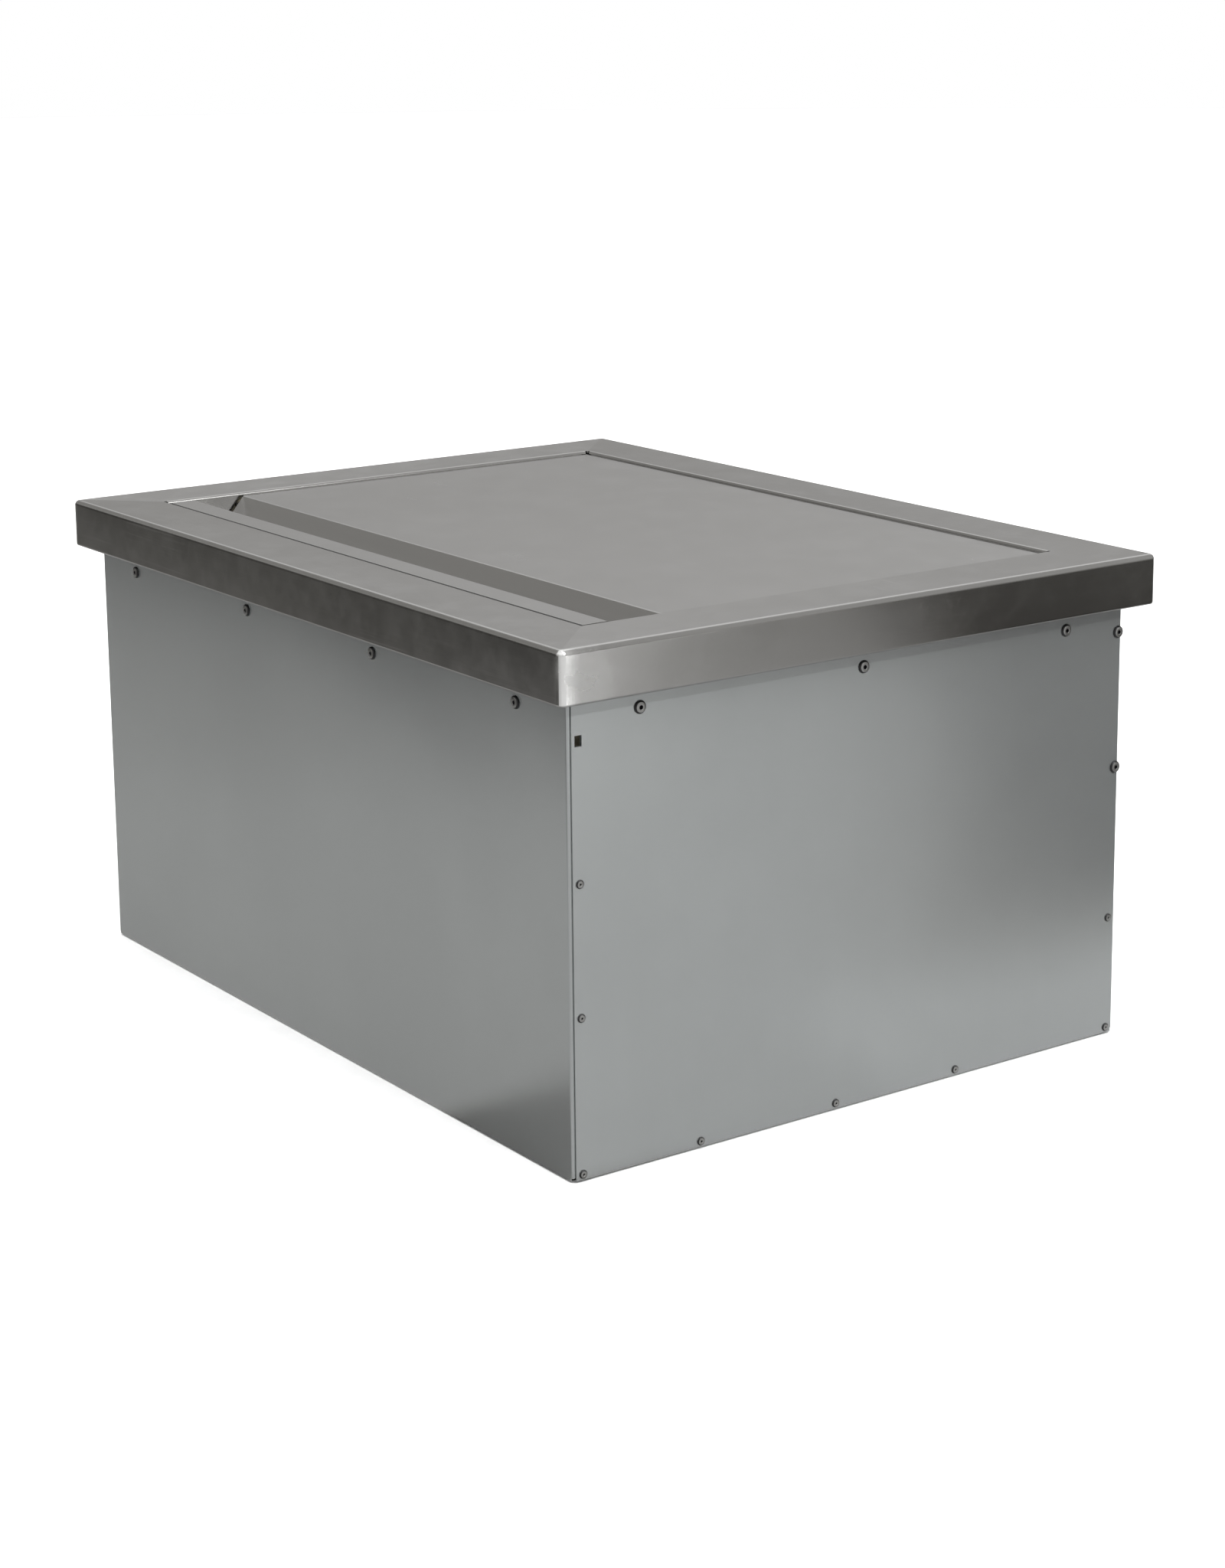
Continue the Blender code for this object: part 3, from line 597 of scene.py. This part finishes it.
def foam_board(name):
    g = Graph(name)
    voronoi = g.add("ShaderNodeTexVoronoi")
    g.put(voronoi.inputs["Vector"], g.coords)
    voronoi.inputs["Scale"].default_value = 520.0
    cells = voronoi.outputs["Distance"]
    cloud = g.noise(scale=14.0, detail=4.0, roughness=0.6)
    level = g.weighted((cells, 0.5), (cloud, 0.6))
    return g.set(
        Base_Color=g.tint(g.range(level, 0.2, 0.8), (0.60, 0.53, 0.36), (0.82, 0.78, 0.62)),
        Roughness=g.range(cloud, *NOISE_SPAN, 0.82, 0.95), Normal=g.bump(cells, 0.0004),
    )


def plain_solid(name, tone, rough):
    g = Graph(name)
    grit = g.noise(scale=700.0, detail=4.0, roughness=0.6)
    cloud = g.noise(scale=60.0, detail=3.0, roughness=0.5)
    return g.set(
        Base_Color=g.tint(g.range(cloud, *NOISE_SPAN), shade(tone, 0.8), tone),
        Roughness=g.range(grit, *NOISE_SPAN, rough - 0.08, rough + 0.08), Normal=g.bump(grit, 0.00005),
    )


RIVET_TONE = (0.46, 0.46, 0.45)
rim_material = brushed_steel("rim_brushed_steel", (0.46, 0.455, 0.445))
lid_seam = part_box("lid_top")[0].x + SEAM_IN
lid_material = brushed_steel("lid_brushed_steel", (0.49, 0.485, 0.475), axis=1, roughness=0.22, seam=lid_seam)
liner_material = brushed_steel("liner_brushed_steel", (0.58, 0.58, 0.57), axis=2, roughness=0.24)
casing_material = mill_sheet("casing_mill_sheet", (0.40, 0.415, 0.415))
hanger_material = mill_sheet("hanger_mill_sheet", (0.36, 0.37, 0.37))
big_rivet_material = rivet_metal("big_rivet_aluminium", RIVET_TONE, (BIG_RIVET[0], BIG_RIVET_DARK))
small_rivet_material = rivet_metal("small_rivet_aluminium", RIVET_TONE, (SMALL_RIVET[0], SMALL_RIVET_DARK))
drain_material = rivet_metal("drain_steel", (0.58, 0.57, 0.55))
foam_material = foam_board("foam_board")
rubber_material = plain_solid("gasket_rubber", (0.035, 0.035, 0.035), 0.75)
plastic_material = plain_solid("washer_plastic", (0.72, 0.71, 0.67), 0.5)


# Rim

def build_rim():
    face = bent_path((
        (SKIRT_RETURN, SKIRT_BOTTOM, 0),
        (0, SKIRT_BOTTOM, SKIRT_RETURN_BEND),
        (0, HEIGHT, RIM_TOP_BEND),
        (RIM_BORDER, HEIGHT, RECESS_BEND),
        (RIM_BORDER, LEDGE_TOP, LEDGE_BEND),
        (RIM_BORDER + LEDGE_WIDTH, LEDGE_TOP, 0),
    ))
    rings = []
    for inset, height in face + offset_path(face, RIM_SHEET)[::-1]:
        radius = max(RIM_CORNER - inset, 0)
        rings.append(rectangle_ring(HALF_W - inset, HALF_L - inset, radius, height))
    rim = loft_rings("rim", rings, rim_material, capped=False)
    x, y = HALF_W - RIM_BORDER, HALF_L - RIM_BORDER
    places = [Vector((sx * x, sy * y, HEIGHT)) for sx in (-1, 1) for sy in (-1, 1)]
    combine(rim, post("reliefs", places, RELIEF_RADIUS, 2 * RELIEF_DEPTH))
    smooth(rim)
    dress(rim, "bin", "brushed_steel", "rim_frame")


# Casing

def cut_tab_hole(sheet):
    """The small upright hole near the top of the near panel's left edge, through both sheets."""
    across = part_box("casing_wrapper")[0].x + EDGE_RIVET_MARGIN
    middle = Vector((across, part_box("end_panel_near")[0].y, SKIRT_BOTTOM - TAB_HOLE_BELOW_SKIRT))
    reach = Vector((TAB_HOLE[0] / 2, CUT_OVERRUN, TAB_HOLE[1] / 2))
    combine(sheet, add_object("tab_cut", block_mesh(middle - reach, middle + reach, "tab_cut")))


def build_casing():
    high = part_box("casing_wrapper")[1]
    half, top = high.x, high.z
    foot = CASING_BEND + CORNER_RELIEF
    reach = half - FLANGE - CORNER_RELIEF
    corners = (
        (-half, top, 0), (-half, foot, 0), (-half, 0, CASING_BEND), (-reach, 0, 0), (reach, 0, 0),
        (half, 0, CASING_BEND), (half, foot, 0), (half, top, 0),
    )
    folds = (((-half, top), (-half, foot)), ((-reach, 0), (reach, 0)), ((half, foot), (half, top)))
    wrapper = folded_sheet(
        "casing", corners, high.y, CASING_SHEET, folds, CASING_BEND, FLANGE, casing_material,
    )
    combine(wrapper, post("drain_cut", [Vector((0, 0, 0))], DRAIN_HOLE, CUT_DEPTH, ROUND_STEPS))
    cut_tab_hole(wrapper)
    smooth(wrapper)
    dress(wrapper, "bin", "casing_steel", "casing_wrapper")


def build_end_panel(node, name, hole):
    low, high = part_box(node)
    panel = add_object(name, block_mesh(low, high, name), casing_material)
    if hole:
        cut_tab_hole(panel)
    bevel = panel.modifiers.new("edges", "BEVEL")
    bevel.width = PANEL_BEVEL
    bevel.segments = 2
    apply_modifiers(panel)
    smooth(panel, 50)
    dress(panel, "bin", "casing_steel", node)


# Lid

def build_lid():
    low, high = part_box("lid_top")
    half_w, half_l, bottom = high.x, high.y, low.z
    panel_top = HEIGHT - LID_PANEL_DROP
    strip_top = HEIGHT - LID_STRIP_DROP
    floor = bottom + LID_SHEET
    strip_edge = -half_w + LID_STRIP_WIDTH
    slope_top = strip_edge + LID_SLOT_WIDTH
    slope_foot = slope_top - (panel_top - floor) / math.tan(TROUGH_ANGLE)
    inside = LID_BEND - LID_SHEET
    front = -half_w + LID_SHEET
    under = strip_top - LID_SHEET
    inner = strip_edge - LID_SHEET
    right = half_w - LID_BEND - CORNER_RELIEF
    left = slope_top + LID_BEND + CORNER_RELIEF
    corners = (
        (half_w, bottom, 0), (half_w, panel_top, LID_BEND), (right, panel_top, 0), (left, panel_top, 0),
        (slope_top, panel_top, LID_BEND), (slope_foot, floor, inside), (front, floor, inside),
        (front, under, inside), (inner, under, inside), (inner, strip_top - LID_STRIP_RETURN, 0),
    )
    folds = (((right, panel_top), (left, panel_top)),)
    lid = folded_sheet("lid", corners, half_l, LID_SHEET, folds, LID_BEND, panel_top - bottom, lid_material)
    smooth(lid)
    dress(lid, "lid", "brushed_steel", "lid_top")


# Liner

def dish(radius, foot, top):
    """A round plug whose side leans out as the drain's dish does."""
    reach = radius + DISH_SLOPE / DISH_DEPTH * (top - foot)
    return turned("dish", ((0, top), (reach, top), (radius, foot), (0, foot)), ROUND_STEPS)


def build_liner():
    low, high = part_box("inner_liner")
    half_w = high.x - LINER_FLANGE
    half_l = high.y - LINER_FLANGE
    floor = low.z + LINER_SHEET + DISH_DEPTH
    edge = floor + FLOOR_PITCH
    face = bent_path((
        (-LINER_FLANGE, high.z, 0),
        (0, high.z, LINER_LIP_BEND),
        (0, edge, LINER_COVE),
        (LINER_CORNER, edge, 0),
    ))
    rings = [rectangle_ring(FLOOR_FLAT, FLOOR_FLAT, 0, floor)]
    for inset, height in face[::-1] + offset_path(face, LINER_SHEET):
        rings.append(rectangle_ring(half_w - inset, half_l - inset, max(LINER_CORNER - inset, 0), height))
    rings.append(rectangle_ring(FLOOR_FLAT, FLOOR_FLAT, 0, floor - LINER_SHEET))
    liner = loft_rings("liner", rings, liner_material, capped=True)
    dish_top = floor - DISH_DEPTH
    combine(liner, dish(DISH_RADIUS + LINER_SHEET, dish_top - LINER_SHEET, floor - LINER_SHEET / 2), "UNION")
    combine(liner, dish(DISH_RADIUS, dish_top, floor + CUT_OVERRUN))
    bore = post("bore", [Vector((0, 0, dish_top))], DRAIN_SHANK + FIT_GAP, CUT_DEPTH / 2, BORE_STEPS)
    combine(liner, bore)
    smooth(liner)
    dress(liner, "bin", "liner_steel", "inner_liner")


# Rivets

def rivet_mesh(name, head, height, hole, material):
    """A set blind rivet's head seen from outside: low dome, rolled crown, and the mandrel's end inside."""
    profile = (
        (0, height * 0.42), (hole * 0.55, height * 0.40), (hole * 0.80, height * 0.25),
        (hole * 0.92, height * 0.30), (hole * 0.98, height * 0.80), (hole * 1.10, height * 0.97),
        (hole * 1.35, height), (hole * 1.8, height * 0.97), ((head + hole) * 0.56, height * 0.90),
        (head * 0.86, height * 0.66), (head * 0.96, height * 0.38), (head, height * 0.14),
        (head * 0.985, 0.0), (0, 0.0),
    )
    made = turned(name, profile, RIVET_STEPS, material)
    smooth(made, 60)
    mesh = made.data
    bpy.data.objects.remove(made, do_unlink=True)
    return mesh


def build_rivets():
    big = rivet_mesh("big_rivet", *BIG_RIVET, big_rivet_material)
    small = rivet_mesh("small_rivet", *SMALL_RIVET, small_rivet_material)
    rng = random.Random(RIVET_SEED)
    outwards = {"left": (-1, 0, 0), "right": (1, 0, 0), "near": (0, -1, 0), "far": (0, 1, 0)}
    for node in sorted(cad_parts):
        if not node.startswith("rivet_"):
            continue
        low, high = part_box(node)
        middle = (low + high) / 2
        size = high - low
        outward = Vector(outwards[node.split("_")[1]])
        head = max(size.z, size.x if outward.x == 0 else size.y) / 2
        mesh, height = (big, BIG_RIVET[1]) if head > BIG_RIVET_FROM else (small, SMALL_RIVET[1])
        ends = zip(outward, low, middle, high)
        tip = Vector([last if way > 0 else first if way < 0 else half for way, first, half, last in ends])
        rivet = add_object("dressed_" + node, mesh)
        turn = outward.to_track_quat("Z", "Y").to_matrix() @ Matrix.Rotation(rng.uniform(0, math.tau), 3, "Z")
        rivet.matrix_world = Matrix.Translation(tip - outward * height) @ turn.to_4x4()
        dress(rivet, "bin", "rivet_metal", node)


build_rim()
build_casing()
build_end_panel("end_panel_near", "near_panel", True)
build_end_panel("end_panel_far", "far_panel", False)
build_lid()
build_liner()
build_rivets()

# Finishes of the CAD pieces that stay as they are, by node or by the first word of its name.
FINISH = {
    "hanger": hanger_material, "board": foam_material, "lid_board": foam_material, "lid_pan": lid_material,
    "drain_gasket": rubber_material, "drain_washer": plastic_material, "drain": drain_material,
}
for node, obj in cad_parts.items():
    key = node if node in FINISH else node.split("_")[0]
    if key in FINISH:
        obj.data.materials.clear()
        obj.data.materials.append(FINISH[key])


# Studio, as the photographed metal shows it. Sky: degrees of azimuth and rise. Card: metres in X and Y.
# A patch is two (low, high, soft) bands and the level inside both; a later patch covers an earlier one.
SKY_RISE = ((-10, 0.27), (9, 0.33), (12, 0.37), (16, 0.65), (22, 0.84), (40, 1.16), (90, 0.90))
SKY_PATCHES = (
    ((95, 140, 10), (-90, 7, 6), 0.06),
    ((82, 130, 8), (20, 42, 8), 0.34),
    ((-90, 16, 8), (20, 91, 4), 0.50),
    ((-90, -53, 5), (43, 82, 5), 1.7),
    ((-90, -56, 3), (32, 86, 5), 5.0),
)
CARD_HALF = 6
CARD_DROP = 0.002
CARD_LEVEL = 0.55
CARD_DARK = 0.03
CARD_PATCHES = (
    ((-6, 6, 0.1), (-6, -0.30, 0.03), 0.565),
    ((0.10, 6, 0.10), (-0.46, -0.30, 0.04), 0.64),
    ((-6, -0.24, 0.1), (-0.28, 6, 0.03), 0.45),
    ((-6, -0.66, 0.32), (0.74, 6, 0.27), 0.31),
    ((-6, -0.90, 0.16), (-0.25, 6, 0.1), 0.06),
    ((-6, -0.90, 0.16), (0.40, 0.95, 0.25), 0.02),
    ((-0.30, -0.16, 0.08), (-0.27, -0.17, 0.04), 0.11),
)

# The dark wedge to the right of the line X + slope * Y + offset = 0, as the near panel shows it: how soft its
# edge is from one Y to another, and where it ends.
WEDGE_SLOPE = 0.83
WEDGE_OFFSET = 0.158
WEDGE_SOFT = (-1.34, -0.60, 0.035, 0.16)
WEDGE_END = (-0.58, -0.36)

# Nearer than FAR_START (full, gone), as the near skirt shows it: levels by where a ray crosses Y = -FAR_LINE.
FAR_START = (-1.275, -1.245)
FAR_LINE = 1.35
FAR_SLOPE = 0.88
CARD_FAR = (
    (-0.40, 0.8), (0.30, 0.9), (0.370, 1.2), (0.395, 4.3), (0.430, 4.3), (0.448, 0.36), (0.485, 0.18),
    (0.517, 0.17), (0.55, 0.17), (0.59, 0.18), (0.69, 0.20), (0.79, 0.22), (0.84, 0.215), (0.86, 0.15),
    (0.873, 0.06), (0.885, 0.005), (0.925, 0.03), (1.02, 0.09), (1.25, 0.10),
)

WARM_TO_PLAIN = (0.05, 0.6)
WARM_WHITE = (1.0, 0.965, 0.89)
PLAIN_WHITE = (1.0, 1.0, 1.0)

FLOOR_RADIUS = 90
FLOOR_DROP = 0.0004
DOME_RADIUS = 12

# Softboxes: name, place, target, size in metres, watts. Ceiling: strength and spread in degrees.
SOFTBOXES = (
    ("key_softbox", (1.05, -3.0, 2.0), (0, 0, 0.2), (1.3, 2.2), 30),
    ("top_softbox", (-0.2, -0.2, 2.6), (0, 0, 0), (2.2, 2.2), 40),
)
CEILING_STRENGTH = 2.2
CEILING_SPREAD = 70

# The camera solved from the photograph: place in metres, turn in degrees, lens and sensor in millimetres.
CAMERA_PLACE = (-1.15200, -1.66626, 0.69298)
CAMERA_TURN = (78.14063, 0.45107, -35.61924)
CAMERA_LENS = 70.656
CAMERA_SENSOR = 36
CAMERA_SHIFT = (-0.01215, -0.11745)
CAMERA_REACH = 300


class Studio(Graph):
    """Light by direction or by place: soft bands that move a level, warmer where it is dark."""

    def __init__(self, tree):
        self.tree = tree

    def band(self, value, low, high, soft):
        """1 between low and high, falling to 0 over soft outside."""
        return self.product(self.fade(value, low - soft, low, 0, 1), self.fade(value, high, high + soft))

    def add_patches(self, level, first, second, patches):
        """Moves a level towards an amount inside each patch."""
        for band_a, band_b, amount in patches:
            mask = self.product(self.band(first, *band_a), self.band(second, *band_b))
            level = self.mix(mask, level, amount)
        return level

    def ramp(self, value, stops):
        """A level that follows (value, level) stops."""
        low, high, top = stops[0][0], stops[-1][0], max(level for _, level in stops)
        node = self.add("ShaderNodeValToRGB")
        self.put(node.inputs[0], self.range(value, low, high))
        node.color_ramp.interpolation = "LINEAR"
        elements = node.color_ramp.elements
        for _ in stops[2:]:
            elements.new(0.5)
        for element, (place, level) in zip(elements, stops):
            element.position = (place - low) / (high - low)
            element.color = (level / top, level / top, level / top, 1)
        return self.product(node.outputs[0], top)

    def paint(self, shader, level):
        plain = self.range(level, *WARM_TO_PLAIN)
        self.put(shader.inputs["Color"], self.tint(plain, WARM_WHITE, PLAIN_WHITE))
        self.put(shader.inputs["Strength"], level)


def hide_from(made, *rays):
    for ray in rays:
        setattr(made, f"visible_{ray}", False)


def add_glow(made, name):
    """Gives an object a plain glowing material, and returns its studio and its emission node."""
    material = bpy.data.materials.new(name)
    material.use_nodes = True
    made.data.materials.append(material)
    studio = Studio(material.node_tree)
    studio.tree.nodes.clear()
    glow = studio.add("ShaderNodeEmission")
    studio.put(studio.add("ShaderNodeOutputMaterial").inputs["Surface"], glow.outputs[0])
    return studio, glow


def build_floor():
    builder = bmesh.new()
    bmesh.ops.create_circle(builder, cap_ends=True, segments=96, radius=FLOOR_RADIUS)
    floor = add_object("studio_floor", to_mesh(builder, "studio_floor"))
    floor.location.z = -FLOOR_DROP
    g = Graph("pale_floor")
    speck = g.noise(scale=40.0, detail=4.0, roughness=0.6)
    floor.data.materials.append(g.set(
        Base_Color=g.tint(g.range(speck, *NOISE_SPAN), (0.86, 0.86, 0.86), (0.90, 0.90, 0.90)),
        Roughness=g.range(speck, *NOISE_SPAN, 0.75, 0.85),
    ))
    hide_from(floor, "glossy")


def build_backdrop():
    """A plain white dome that only the camera sees."""
    builder = bmesh.new()
    bmesh.ops.create_uvsphere(builder, u_segments=64, v_segments=32, radius=DOME_RADIUS)
    dome = add_object("studio_backdrop", to_mesh(builder, "studio_backdrop"))
    add_glow(dome, "plain_backdrop")
    hide_from(dome, "glossy", "diffuse", "shadow", "transmission", "volume_scatter")


def build_world():
    world = bpy.data.worlds.new("studio")
    bpy.context.scene.world = world
    world.use_nodes = True
    s = Studio(world.node_tree)
    x, y, z = s.split(s.add("ShaderNodeTexCoord").outputs["Generated"])
    azimuth = s.product(s.math("ARCTAN2", y, x), 180 / math.pi)
    rise = s.product(s.math("ARCSINE", z), 180 / math.pi)
    level = s.add_patches(s.ramp(rise, SKY_RISE), azimuth, rise, SKY_PATCHES)
    s.paint(s.tree.nodes["Background"], level)


def build_reflection_card():
    """A glowing card in the floor's plane that only reflections see: the studio's table."""
    builder = bmesh.new()
    bmesh.ops.create_grid(builder, x_segments=1, y_segments=1, size=CARD_HALF)
    card = add_object("studio_card", to_mesh(builder, "studio_card"))
    card.location.z = -CARD_DROP
    s, glow = add_glow(card, "studio_card")
    x, y, _ = s.split(s.add("ShaderNodeTexCoord").outputs["Object"])
    level = s.add_patches(CARD_LEVEL, x, y, CARD_PATCHES)
    edge = s.math("ADD", s.math("ADD", x, s.product(y, WEDGE_SLOPE)), WEDGE_OFFSET)
    wedge = s.fade(s.math("DIVIDE", edge, s.range(y, *WEDGE_SOFT)), -1.0, 1.0, 0, 1)
    level = s.mix(s.product(wedge, s.fade(y, *WEDGE_END)), level, CARD_DARK)
    crossing = s.math("ADD", x, s.product(s.math("ADD", y, FAR_LINE), FAR_SLOPE))
    s.paint(glow, s.mix(s.fade(y, *FAR_START), level, s.ramp(crossing, CARD_FAR)))
    hide_from(card, "camera", "diffuse", "shadow", "transmission")


def add_light(name, kind, energy):
    made = add_to_scene(name, bpy.data.lights.new(name, kind))
    made.data.energy = energy
    hide_from(made, "glossy")
    return made


def build_lights():
    for name, place, target, size, watts in SOFTBOXES:
        softbox = add_light(name, "AREA", watts)
        softbox.data.shape = "RECTANGLE"
        softbox.data.size, softbox.data.size_y = size
        softbox.location = place
        softbox.rotation_euler = (Vector(target) - Vector(place)).to_track_quat("-Z", "Y").to_euler()
    ceiling = add_light("ceiling", "SUN", CEILING_STRENGTH)
    ceiling.data.angle = math.radians(CEILING_SPREAD)


def build_camera():
    data = bpy.data.cameras.new("camera")
    data.sensor_fit = "VERTICAL"
    data.sensor_height = CAMERA_SENSOR
    data.lens = CAMERA_LENS
    data.shift_x, data.shift_y = CAMERA_SHIFT
    data.clip_end = CAMERA_REACH
    made = add_to_scene("camera", data)
    made.location = CAMERA_PLACE
    made.rotation_euler = Euler([math.radians(a) for a in CAMERA_TURN])
    bpy.context.scene.camera = made


build_floor()
build_backdrop()
build_world()
build_reflection_card()
build_lights()
build_camera()
bpy.context.scene.view_settings.view_transform = "Standard"
